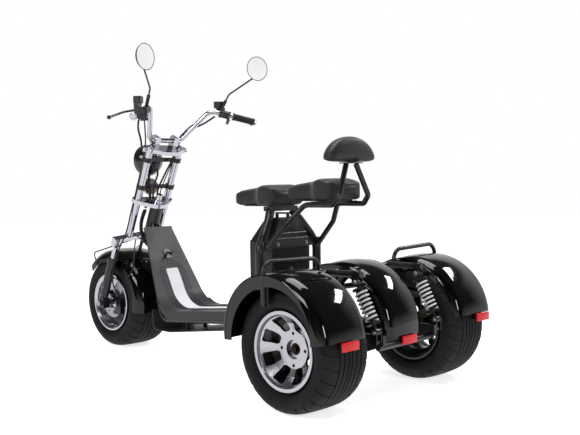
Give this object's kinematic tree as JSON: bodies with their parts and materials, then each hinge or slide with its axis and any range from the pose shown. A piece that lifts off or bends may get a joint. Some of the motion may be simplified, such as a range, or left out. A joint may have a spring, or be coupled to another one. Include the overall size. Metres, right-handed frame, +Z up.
{
  "type": "electric trike",
  "caption": "Electric trike with fat tyres, two saddles, half-round backrest, flat footboard, chrome raked fork and high bars.",
  "frame": {"origin": "centre of the bounding box in plan, at ground level", "axes": "+X to the rider's left, +Y to the rear, +Z up"},
  "size_m": [0.997, 1.9893, 1.3669],
  "materials": {
    "frame_black": "satin black paint",
    "shield_grey": "satin dark grey moulded plastic",
    "strip_silver": "silver grey grip strip",
    "case_black": "black moulded plastic",
    "saddle_black": "soft black covering over foam",
    "fender_black": "gloss black",
    "reflector_red": "red reflector",
    "chrome": "bright chrome",
    "grip_rubber": "black rubber",
    "lever_black": "black paint",
    "mirror_glass": "silvered glass",
    "lens_glass": "clear lens",
    "steel": "plain steel",
    "motor_grey": "dark cast housing",
    "zinc_yellow": "yellow zinc plate",
    "spring_white": "coil springs of the rear dampers",
    "shock_black": "black damper with light spring",
    "tyre_rubber": "black tyre",
    "alloy": "machined alloy"
  },
  "bodies": {
    "chassis": {"main_frame": "frame_black", "seat_frame": "frame_black", "leg_shield": "shield_grey", "grip_strip": "strip_silver", "belly_tray": "shield_grey", "battery_case": "case_black", "controller_box": "case_black", "front_seat": "saddle_black", "rear_seat": "saddle_black", "seat_plates": "frame_black", "backrest_pad": "saddle_black", "backrest_frame": "frame_black", "left_fender": "fender_black", "centre_fender": "fender_black", "right_fender": "fender_black", "reflectors": "reflector_red", "left_grab_rail": "frame_black", "right_grab_rail": "frame_black", "rear_axle": "steel", "drive_motor": "motor_grey", "swing_arm": "frame_black", "rear_shocks": "shock_black", "shock_springs": "spring_white", "rear_subframe": "frame_black", "brake_backplates": "zinc_yellow", "bag_hook": "frame_black"},
    "fork": {"fork_bridge": "chrome", "lower_yoke": "chrome", "upper_yoke": "chrome", "fork_tubes": "chrome", "fork_legs": "frame_black", "front_axle": "steel", "handlebar": "chrome", "grips": "grip_rubber", "brake_levers": "lever_black", "switch_pods": "case_black", "mirror_stems": "chrome", "mirror_heads": "lever_black", "mirror_glasses": "mirror_glass", "headlight_shell": "lever_black", "headlight_lens": "lens_glass", "lamp_bracket": "frame_black", "horn": "lever_black", "front_fender": "fender_black", "fender_stays": "frame_black", "front_caliper": "lever_black"},
    "front_wheel": {"front_tyre": "tyre_rubber", "front_rim": "alloy", "front_brake_disc": "steel"},
    "rear_left_wheel": {"rear_left_tyre": "tyre_rubber", "rear_left_rim": "alloy"},
    "rear_right_wheel": {"rear_right_tyre": "tyre_rubber", "rear_right_rim": "alloy"}
  },
  "joints": [
    {"name": "steering", "type": "hinge", "parent": "chassis", "child": "fork", "pos_m": [0, -0.56742, 0.60485], "axis": [0, 0.4115, 0.9114], "range_deg": [-38, 38]},
    {"name": "front_wheel_spin", "type": "hinge", "parent": "fork", "child": "front_wheel", "pos_m": [0, -0.77765, 0.217], "axis": [1, 0, 0], "continuous": true},
    {"name": "rear_left_wheel_spin", "type": "hinge", "parent": "chassis", "child": "rear_left_wheel", "pos_m": [0.353, 0.74335, 0.217], "axis": [1, 0, 0], "continuous": true},
    {"name": "rear_right_wheel_spin", "type": "hinge", "parent": "chassis", "child": "rear_right_wheel", "pos_m": [-0.353, 0.74335, 0.217], "axis": [1, 0, 0], "continuous": true}
  ]
}
